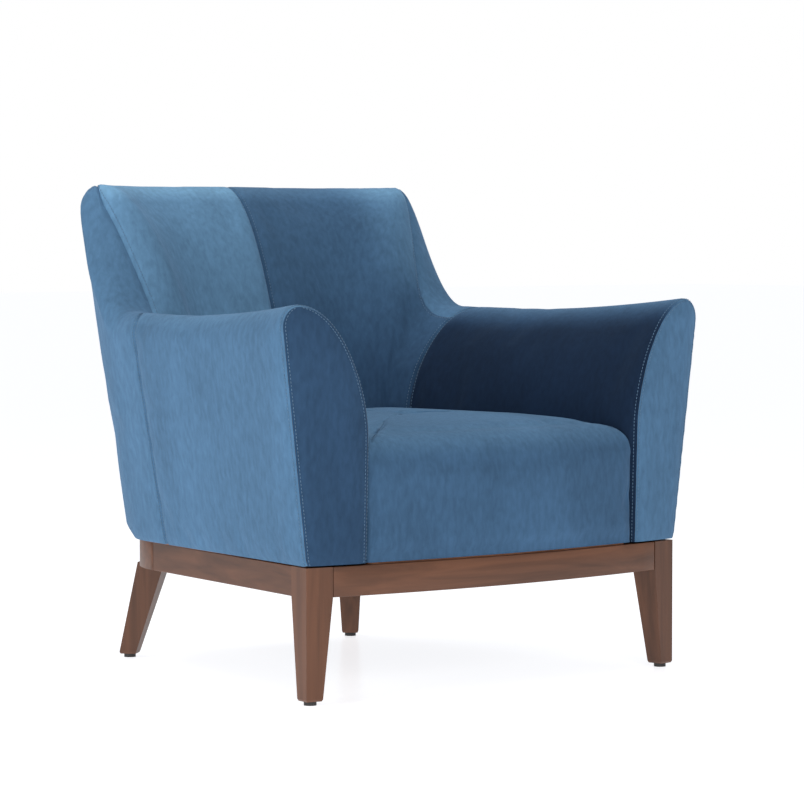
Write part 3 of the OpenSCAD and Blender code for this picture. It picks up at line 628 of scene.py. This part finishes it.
def make_inner_back(side):
    """Half of the inner back's cover, with painted light and shade in its colour. The left half is painted
    lighter, the right half in painted shade, most of all low down, with a painted highlight towards the
    wing; both have a painted highlight over the crest."""
    right = side == "right"
    ends = (seam_l, HALF_LEN) if right else (HALF_LEN, mirrored_seam)
    obj, grid = panel(f"{side}_inner_back", ends, (WING_SEAM_W, 5), (True, True, True, False))
    height = grid["p"][..., 2] - BODY_Z
    outwards = np.abs(grid["p"][..., 0])
    # painted highlight over the crest; on the right half painted shade low down and a painted highlight on
    # the wing
    crest = 1 + CREST_HIGHLIGHT * blend(height, BACK_H - CREST_BAND, CREST_FADE)
    low = mix(LOW_SHADE, 1.0, blend(height, LOW_UP_TO, LOW_FADE))
    wing = 1 + WING_HIGHLIGHT * blend(outwards, WING_FROM_X, WING_FADE) * blend(height, WING_FROM_Z, WING_FADE)
    set_painted_shading(obj, INNER_BACK_SHADING[side] * crest * (low * wing if right else 1.0))
    finish_piece(obj, [f"{side}_inner_back_cover", f"{side}_wing_foam"])
    return grid


def make_outer_back():
    """The outer back's cover, one piece from seam to seam round the rear, pulled tight."""
    obj, grid = panel("outer_back", (seam_l, mirrored_seam), (0, WING_SEAM_W), (True, True, False, True),
                      pressure=2.0, cap=0.0025)
    # painted light: a little lighter all over
    set_painted_shading(obj, np.full(grid["p"].shape[:2], OUTER_BACK_SHADING))
    finish_piece(obj, ["outer_back_cover", "back_foam"])
    return grid


PANEL_CROWN, CROWN_RUN, CROWN_POWER = 0.0065, 0.034, 2.2
FOOT_CROWN = 0.012                # the crown at the panel's foot is that of a point this far from its rim
PANEL_ROWS, PANEL_COLS, RIM_POINTS = 56, 25, 240
PANEL_TIP = 0.985                 # the rows stop just short of the crest, and one face closes the tip


def make_front_panel(side):
    """The arm's front: a tall leaf shape sewn in between the arm's two edges, a little crowned. Returns
    the lines for its stitches, along its outer and its inner edge."""
    right = side == "right"
    l = PANEL_L + PANEL_INSET
    l = l if right else mirrored(l)
    dense = np.linspace(0, 3, RIM_POINTS)
    outside = section(l, dense, SEAM_DEPTH)
    inside = section(l, 5 - dense * 2 / 3, SEAM_DEPTH)
    rungs = np.sin(np.linspace(0, PANEL_TIP, PANEL_ROWS) * math.pi / 2)
    sides = []
    for path in (outside, inside):
        run = path_run(path)
        sides.append(along_path(rungs * run[-1], run, path))
    across = (1 - np.cos(np.linspace(0, math.pi, PANEL_COLS))) / 2
    p = sides[0][:, None] + (sides[1] - sides[0])[:, None] * across[None, :, None]
    rim = np.concatenate([outside, inside])
    gap = np.sqrt(((p[:, :, None] - rim[None, None]) ** 2).sum(-1)).min(-1)
    foot = p[..., 2] - COVER_Z
    gap = np.minimum(gap, foot + FOOT_CROWN)
    forward = np.array([math.sin(SIDE_TOE) * (1 if right else -1), -math.cos(SIDE_TOE), 0.0])
    crown = PANEL_CROWN * (1 - (1 - np.clip(gap / CROWN_RUN, 0, 1)) ** CROWN_POWER)
    p = p + forward * crown[..., None]
    faces = grid_faces(*p.shape[:2])
    faces.append(tuple((PANEL_ROWS - 1) * PANEL_COLS + j for j in range(PANEL_COLS)))
    if right:
        faces = [f[::-1] for f in faces]
    obj = new_mesh(f"{side}_panel", p, faces, pile)
    # painted shade: deep on the left panel, slight on the right
    set_painted_shading(obj, np.full(p.shape[:2], PANEL_SHADING[side]))
    finish_piece(obj, [f"{side}_front_panel", f"{side}_front_board"])

    lines = ([], [])
    for row in p:
        run = path_run(row)
        if run[-1] > TOPSTITCH * 3:
            lines[0].append(along_path(FRONT_TOPSTITCH, run, row))
            lines[1].append(along_path(run[-1] - FRONT_TOPSTITCH, run, row))
    return [(np.array(line), np.broadcast_to(forward, (len(line), 3))) for line in lines]


EDGE_R = 0.044
SEAT_CROWN = 0.015
SEAT_CORNER_R, SEAT_CORNER_L = 0.008, 0.012        # the seat's front corner, and its station
SEAT_CORNER_OUT = 0.0015          # the corner reaches this far into the arm
SEAT_SIDE_L = 0.052               # station where the seat starts to follow the arm
SEAT_GAP = 0.0003                 # between the seat's side and the arm's inner face
SEAT_MIDDLE = 0.220               # from the front to the point that the seat's rings close in on
SEAT_PRESSURE, SEAT_CAP = 4.0, 0.006
LEAST_R = 0.0005                  # what is left of the corner's radius on the inner rings
FRONT_POINTS, CORNER_POINTS, SIDE_POINTS, REAR_POINTS = 34, 9, 26, 34
WALL_RINGS, EDGE_RINGS, TOP_RINGS = 14, 11, 24
TOP_CLOSED = 0.97                 # the top's rings go this share of the way to the middle; a face fills it


def seat_outline(inset):
    """Half of the seat's outline in plan, from the middle of the front round to the middle of the rear."""
    l = np.concatenate([np.linspace(SEAT_SIDE_L, ARM_LEN, SIDE_POINTS),
                        np.linspace(ARM_LEN, HALF_LEN, REAR_POINTS)[1:]])
    side = body_point(l, inner_depth(l) + SEAT_GAP + inset, 0 * l)[:, :2]
    start = body_point(np.array(SEAT_CORNER_L), np.array(ARM_T - SEAT_CORNER_OUT), np.array(0.0))
    cx = start[0] - SEAT_CORNER_R
    cy = bow_y(cx) + RAIL_RECESS + SEAT_CORNER_R
    r = max(LEAST_R, SEAT_CORNER_R - inset)
    k = max(0.0, inset - SEAT_CORNER_R + LEAST_R)
    a = np.linspace(-math.pi / 2, -SIDE_TOE, CORNER_POINTS)
    corner = np.stack([cx - k + r * np.cos(a), cy + k + r * np.sin(a)], -1)
    x = np.linspace(0, corner[0, 0], FRONT_POINTS)[:-1]
    front = np.stack([x, bow_y(x) + RAIL_RECESS + inset], -1)
    return np.concatenate([front, corner, side])


def make_seat():
    """The seat: straight sides, a full rounded edge and a domed top, blown up a little by its padding."""
    edge_z = SEAT_TOP - SEAT_CROWN - EDGE_R
    rings = [(INSET, z) for z in np.linspace(COVER_Z, edge_z, WALL_RINGS)[:-1]]
    for a in np.radians(np.linspace(0, 90, EDGE_RINGS)):
        rings.append((INSET + (EDGE_R - INSET) * (1 - math.cos(a)), edge_z + (EDGE_R - INSET) * math.sin(a)))
    points = []
    for inset, z in rings:
        half = seat_outline(inset)
        ring = np.concatenate([half, half[-2:0:-1] * [-1, 1]])
        points.append(np.column_stack([ring, np.full(len(ring), z)]))
    top = points[-1]
    middle = np.array([0.0, FRONT_Y + SEAT_MIDDLE])
    for t in np.linspace(0, TOP_CLOSED, TOP_RINGS)[1:]:
        ring = top.copy()
        ring[:, :2] = middle + (top[:, :2] - middle) * (1 - t)
        ring[:, 2] = top[0, 2] + SEAT_CROWN * (1 - (1 - t) ** 2)
        points.append(ring)
    p = np.array(points)
    rows, cols = p.shape[:2]
    faces = grid_faces(rows, cols, closed=True)
    faces.append(tuple((rows - 1) * cols + j for j in range(cols)))
    flat = p.reshape(-1, 3)
    pinned = np.zeros((rows, cols), bool)
    pinned[:2] = True
    flat = flat + inflate(flat, faces, pinned.ravel(), SEAT_PRESSURE, SEAT_CAP)
    obj = new_mesh("seat", flat, faces, pile)
    # painted shade down the rounded edge, painted light over the top
    set_painted_shading(obj, mix(*SEAT_SHADING, blend(flat[:, 2], edge_z, EDGE_R)))
    finish_piece(obj, ["seat_cover", "seat_foam"])


arms = {side: make_arm(side) for side in ("left", "right")}
inner_backs = {side: make_inner_back(side) for side in ("left", "right")}
outer_back = make_outer_back()
panel_lines = {side: make_front_panel(side) for side in ("left", "right")}
make_seat()

FIRST, LAST = "first_l", "last_l"
for side, rear, front in (("left", FIRST, LAST), ("right", LAST, FIRST)):
    stitches(f"{side}_arm_seam_stitches", [seam_line(arms[side], rear)])
    stitches(f"{side}_front_seam_stitches",
             [seam_line(arms[side], front, FRONT_TOPSTITCH)] + panel_lines[side])
stitches("inner_back_stitches", [
    seam_line(inner_backs["left"], FIRST), seam_line(inner_backs["right"], LAST),
    seam_line(inner_backs["left"], LAST), seam_line(inner_backs["right"], FIRST)])
stitches("wing_seam_stitches", [seam_line(inner_backs[side], "first_w") for side in ("left", "right")])
stitches("outer_back_stitches", [seam_line(outer_back, FIRST), seam_line(outer_back, LAST)])


# ---- the cloth under the seat ----

CLOTH_MARGIN = 0.028              # from the plinth's face in to the cloth's edge
CLOTH_SAG = 0.003
CLOTH_SIDE_L = 0.062              # station behind the front leg where the cloth's side starts
LEG_CLEAR = 0.016                 # between a front leg and the cloth
LEG_EDGE_STEPS = ((0.0, 0.020), (0.004, 0.050))    # its edge there, from the clear line and from the front
REAR_STOP = 0.03                  # its last row is this far along from the middle of the rear
BOW_FADE, BOW_POWER = 4.0, 8      # rows over which the front's bow dies away, and how square its ends are


def make_dust_cloth():
    """Thin lining cloth stretched across the frame's underside, cut around the front legs. Its first
    rows follow the bowed front."""
    low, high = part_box("dust_cover")
    z = (low.z + high.z) / 2
    l = np.concatenate([np.linspace(CLOTH_SIDE_L, SIDE_LEN, 18),
                        np.linspace(SIDE_LEN, HALF_LEN - REAR_STOP, 20)[1:]])
    ends = body_point(l, CLOTH_MARGIN + 0 * l, 0 * l)[:, :2]
    inner_leg = HALF_W - LEG_W - LEG_CLEAR
    beside_leg = [[inner_leg + x, FRONT_Y + y] for x, y in LEG_EDGE_STEPS]
    ends = np.concatenate([beside_leg, ends])
    u = np.linspace(-1, 1, 41)
    rows = []
    for k, (x, y) in enumerate(ends):
        line = x * u
        first = bow_y(line) + CLOTH_MARGIN
        bowed = math.exp(-k / BOW_FADE) * (1 - u ** BOW_POWER)
        rows.append(np.stack([line, mix(y + 0 * line, first, bowed), 0 * line + z], -1))
    p = np.array(rows)
    v = np.linspace(-1, 1, len(p))
    p[..., 2] -= CLOTH_SAG * (1 - u[None, :] ** 2) * (1 - v[:, None] ** 2)
    obj = new_mesh("dust_cloth", p, grid_faces(*p.shape[:2]), lining)
    finish_piece(obj, ["dust_cover"])


lining = plain("lining", (0.020, 0.020, 0.022), 0.9, grain=1200.0, depth=0.0003)
make_dust_cloth()


# ---- materials of the frame's own pieces ----

WELD_GAP, SHARP_ANGLE = 0.00002, math.radians(32)


def soften(obj, width):
    """Welds a frame piece's split points and rounds its edges a little."""
    weld = obj.modifiers.new("Weld", "WELD")
    weld.merge_threshold = WELD_GAP
    bevel = obj.modifiers.new("Bevel", "BEVEL")
    bevel.width = width
    bevel.segments = 3
    bevel.limit_method = "ANGLE"
    bevel.angle_limit = SHARP_ANGLE


def clothe(names, mat, edge=None):
    """Gives CAD nodes a material and, where edge says how wide, rounded edges."""
    for name in names:
        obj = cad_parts[name]
        obj.data.materials.clear()
        obj.data.materials.append(mat)
        for face in obj.data.polygons:
            face.material_index = 0
        if edge:
            soften(obj, edge)


ALONG_X, ALONG_Y, ALONG_Z = (1, 0, 0), (0, 1, 0), (0, 0, 1)
RAIL_EDGE, LEG_EDGE = 0.0012, 0.0018
LEG_TONE, FRAME_TONE = 0.92, 3.2           # the legs are a little darker; the hidden frame is raw pale wood
clothe(["front_rail", "rear_rail"], wood("walnut_x", ALONG_X), RAIL_EDGE)
clothe(["left_side_rail", "right_side_rail"], wood("walnut_y", ALONG_Y), RAIL_EDGE)
clothe(["front_left_leg", "front_right_leg", "rear_left_leg", "rear_right_leg"],
       wood("walnut_z", ALONG_Z, LEG_TONE), LEG_EDGE)
FRAME_WOOD = ["corner_blocks", "left_arm_frame", "right_arm_frame", "left_wing_frame", "right_wing_frame",
              "back_top_rail", "back_lower_rail", "seat_frame_front", "seat_frame_rear", "seat_frame_left",
              "seat_frame_right", "front_bearer", "rear_bearer"]
clothe(FRAME_WOOD, wood("frame_wood", ALONG_X, FRAME_TONE))
clothe(["corner_block_bolts", "rear_leg_bolts", "glide_nails", "body_bolts", "seat_springs"],
       plain("steel", (0.55, 0.56, 0.58), 0.35, 1.0))
clothe(["foot_glides"], plain("glides", (0.025, 0.022, 0.020), 0.5))
clothe(["spring_clips"], plain("clips", (0.08, 0.08, 0.08), 0.5))
clothe(["back_webbing"], plain("webbing", (0.12, 0.12, 0.12), 0.85, grain=500.0))
clothe(["spring_felt"], plain("felt", (0.30, 0.30, 0.31), 0.95, grain=250.0, depth=0.0006))


# ---- camera, floor and light ----

CAMERA_PLACE = (-3.3814, -3.8877, 0.6895)          # Y counted from the chair's front
CAMERA_TURN, CAMERA_DROP = math.radians(39.388), math.radians(2.831)
CAMERA_LENS, CAMERA_SENSOR = 151.39, 36.0          # millimetres
WORLD_LIGHT = 0.27
FLOOR_HALF = 30.0


def look(obj, direction):
    """Turns a camera or a lamp to face that way."""
    obj.rotation_mode = "QUATERNION"
    obj.rotation_quaternion = Vector(direction).to_track_quat("-Z", "Y")


def make_camera():
    """A long lens from the front left, just below the height of the back and looking slightly down."""
    data = bpy.data.cameras.new("camera")
    data.sensor_width = CAMERA_SENSOR
    data.lens = CAMERA_LENS
    data.clip_end = 100
    cam = bpy.data.objects.new("camera", data)
    bpy.context.scene.collection.objects.link(cam)
    x, y, z = CAMERA_PLACE
    cam.location = (x, y + FRONT_Y, z)
    level = math.cos(CAMERA_DROP)
    look(cam, (math.sin(CAMERA_TURN) * level, math.cos(CAMERA_TURN) * level, -math.sin(CAMERA_DROP)))
    bpy.context.scene.camera = cam


def area_light(name, place, aim, size, power):
    """A soft white lamp, its size in metres and its power in watts."""
    data = bpy.data.lights.new(name, "AREA")
    data.shape = "RECTANGLE"
    data.size, data.size_y = size
    data.energy = power
    lamp = bpy.data.objects.new(name, data)
    bpy.context.scene.collection.objects.link(lamp)
    lamp.location = place
    look(lamp, Vector(aim) - Vector(place))


def make_world():
    """White all round to the eye, and a softer fill light on the object."""
    world = bpy.context.scene.world or bpy.data.worlds.new("world")
    bpy.context.scene.world = world
    world.use_nodes = True
    nodes, links = world.node_tree.nodes, world.node_tree.links
    seen = nodes["Background"]
    seen.inputs["Color"].default_value = (1, 1, 1, 1)
    seen.inputs["Strength"].default_value = 1.0
    fill = nodes.new("ShaderNodeBackground")
    fill.inputs["Strength"].default_value = WORLD_LIGHT
    fill.inputs["Color"].default_value = (0.93, 0.96, 1.0, 1)
    path = nodes.new("ShaderNodeLightPath")
    both = nodes.new("ShaderNodeMixShader")
    links.new(path.outputs["Is Camera Ray"], both.inputs["Fac"])
    links.new(fill.outputs["Background"], both.inputs[1])
    links.new(seen.outputs["Background"], both.inputs[2])
    links.new(both.outputs["Shader"], nodes["World Output"].inputs["Surface"])


def make_stage():
    """A pale floor that glows a little, so that its far edge hardly shows, with the world and lamps."""
    corners = np.array([[-1, -1, 0], [1, -1, 0], [1, 1, 0], [-1, 1, 0]]) * FLOOR_HALF
    floor = new_mesh("floor", corners, [(0, 1, 2, 3)])
    mat, _, _, shader, _ = material("floor")
    shader.inputs["Base Color"].default_value = (0.88, 0.88, 0.89, 1)
    shader.inputs["Roughness"].default_value = 0.22
    shader.inputs["Emission Color"].default_value = (0.97, 0.975, 1.0, 1)
    shader.inputs["Emission Strength"].default_value = 0.765
    floor.data.materials.append(mat)
    make_world()
    area_light("key", (-3.4, -0.1, 1.3), (0, 0, 0.45), (2.2, 1.8), 36)
    area_light("top", (-0.3, 0.3, 3.2), (0, 0, 0.4), (2.6, 2.6), 40)
    area_light("front", (-1.4, -3.4, 1.5), (0, 0, 0.4), (2.0, 1.6), 42)


make_camera()
make_stage()
bpy.context.scene.view_settings.view_transform = "Standard"
